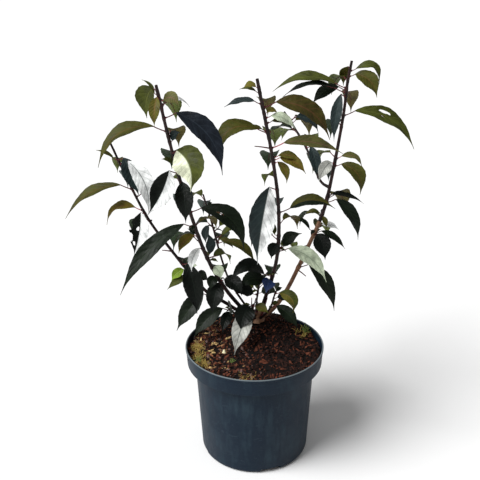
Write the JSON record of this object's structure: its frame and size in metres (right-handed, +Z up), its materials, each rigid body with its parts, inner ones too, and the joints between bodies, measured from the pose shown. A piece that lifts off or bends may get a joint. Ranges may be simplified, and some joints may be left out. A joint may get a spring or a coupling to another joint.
{
  "type": "potted japanese cherry bush",
  "caption": "Young flowering cherry grown as a bush: pruned stems with drooping pointed leaves, rising from a stool in a round nursery pot of bark compost",
  "frame": {"origin": "the middle of the pot's flat underside", "axes": "+Z is up, +Y is the back, away from the leaves that overhang the pot's rim, and +X is to the right, towards the forked stem"},
  "size_m": [0.4712, 0.2763, 0.5273],
  "materials": {
    "pot_plastic": "moulded recycled plastic, dark blue-grey, slightly scuffed",
    "bark_compost": "loose shredded bark",
    "stem_bark": "smooth young bark with pores",
    "foliage": "leaf with a waxy upper side"
  },
  "bodies": {
    "root": {"pot": "pot_plastic", "compost": "bark_compost", "stool": "stem_bark", "stem_far_left": "stem_bark", "stem_left": "stem_bark", "stem_short": "stem_bark", "stem_centre": "stem_bark", "stem_right": "stem_bark", "leaves_far_left": "foliage", "leaves_left": "foliage", "leaves_short": "foliage", "leaves_centre": "foliage", "leaves_right": "foliage", "leaves_right_fork": "foliage", "leaves_base_left": "foliage", "leaves_base_front": "foliage", "leaves_base_right": "foliage", "leaves_base_back": "foliage"}
  },
  "joints": []
}
